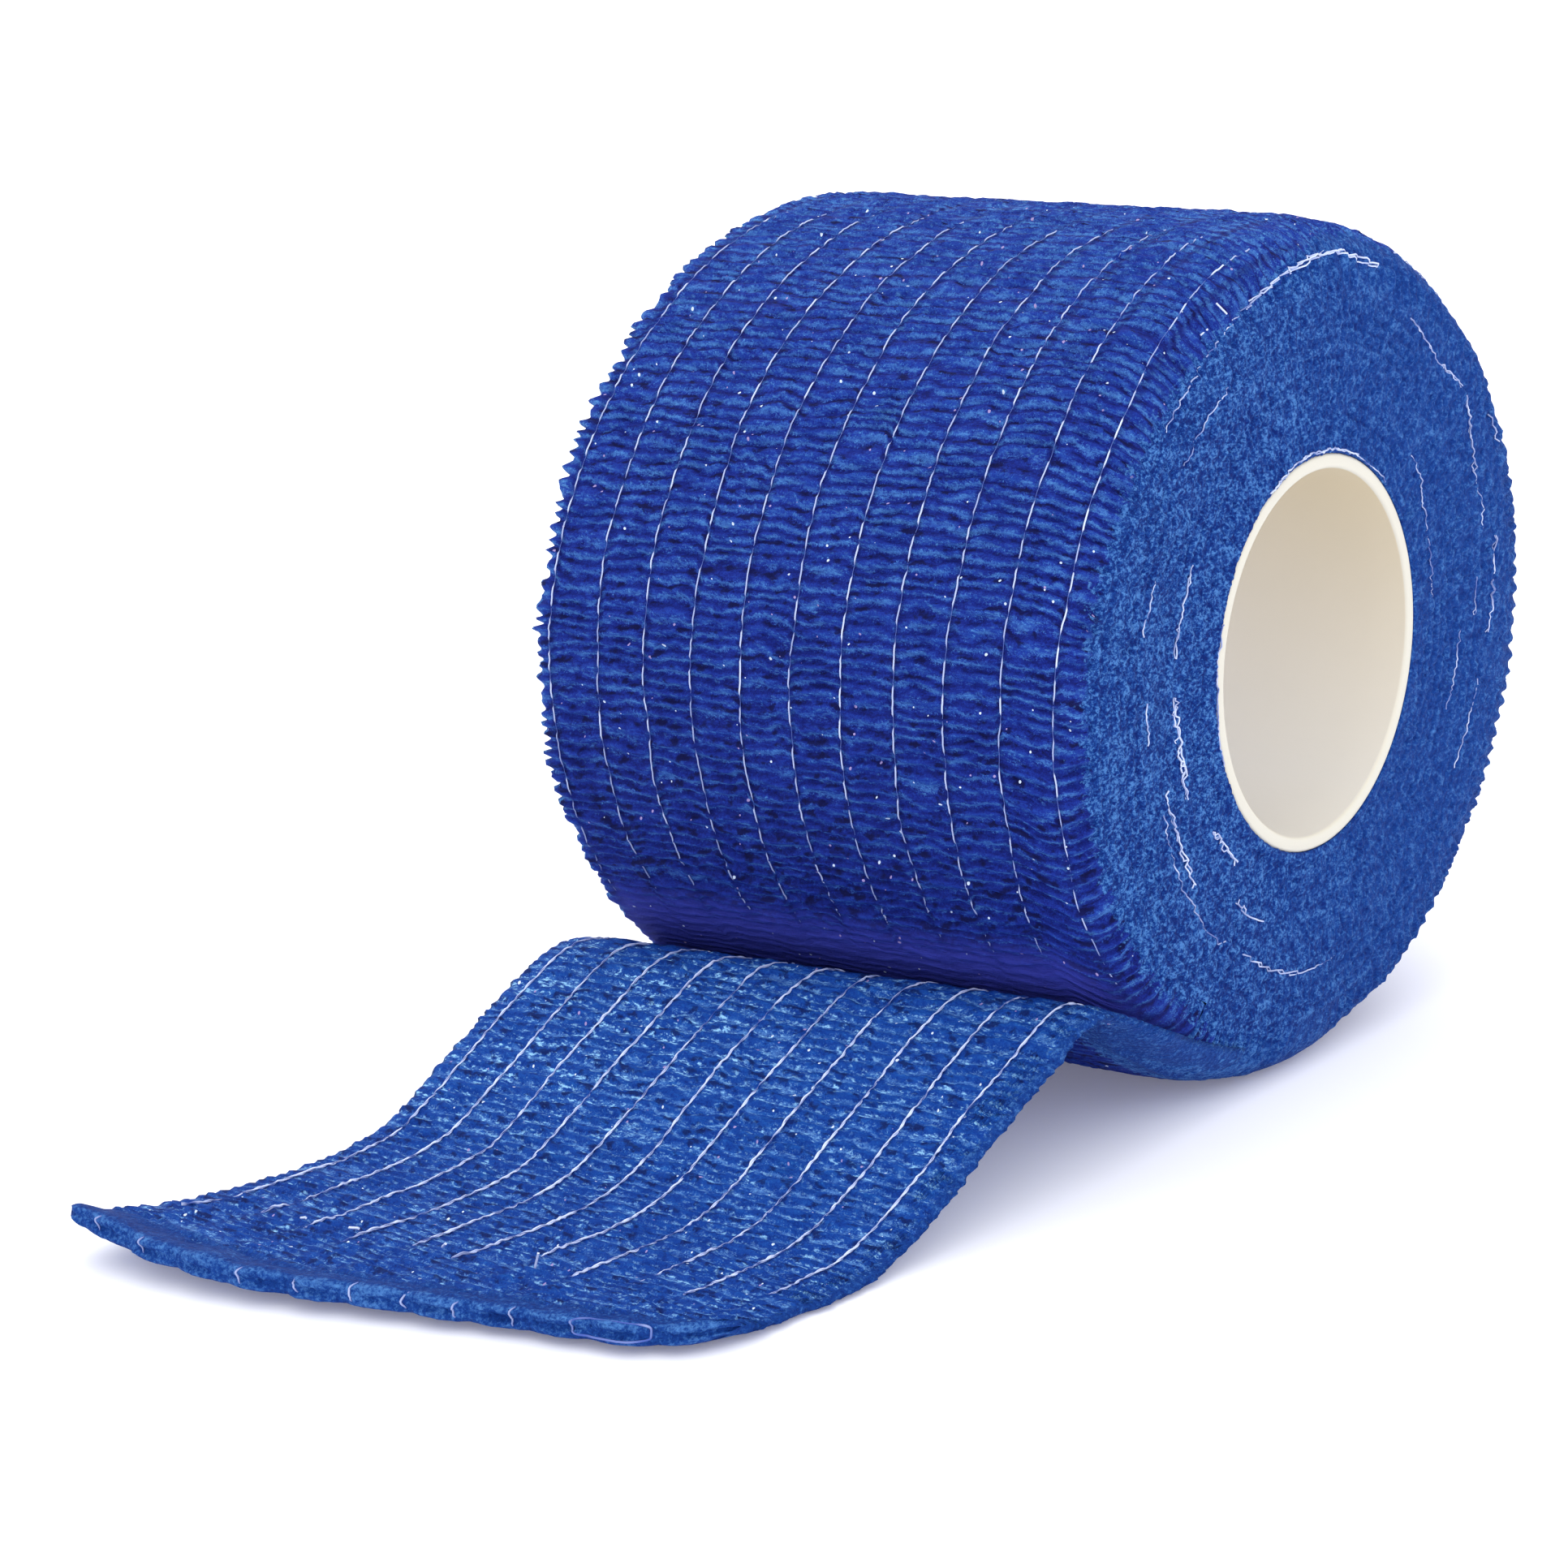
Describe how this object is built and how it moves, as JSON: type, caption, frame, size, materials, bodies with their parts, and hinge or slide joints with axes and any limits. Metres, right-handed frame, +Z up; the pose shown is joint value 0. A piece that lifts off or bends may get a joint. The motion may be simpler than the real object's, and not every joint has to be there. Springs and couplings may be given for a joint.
{
  "type": "cohesive bandage roll",
  "caption": "Self-adhering crepe bandage wound on a plastic core, with white elastic threads along it and its loose end peeled off and laid flat in front of the roll",
  "frame": {"origin": "middle of the flat spot under the roll, on the table", "axes": "X along the roll's axis with the near end at +X, -Y the way the loose end runs out, +Z up"},
  "size_m": [0.0515, 0.1205, 0.0677],
  "materials": {
    "crepe": "matt crinkled nonwoven with rubbery tack",
    "core_plastic": "smooth cream plastic"
  },
  "bodies": {
    "root": {"bandage": "crepe", "core": "core_plastic"}
  },
  "joints": []
}
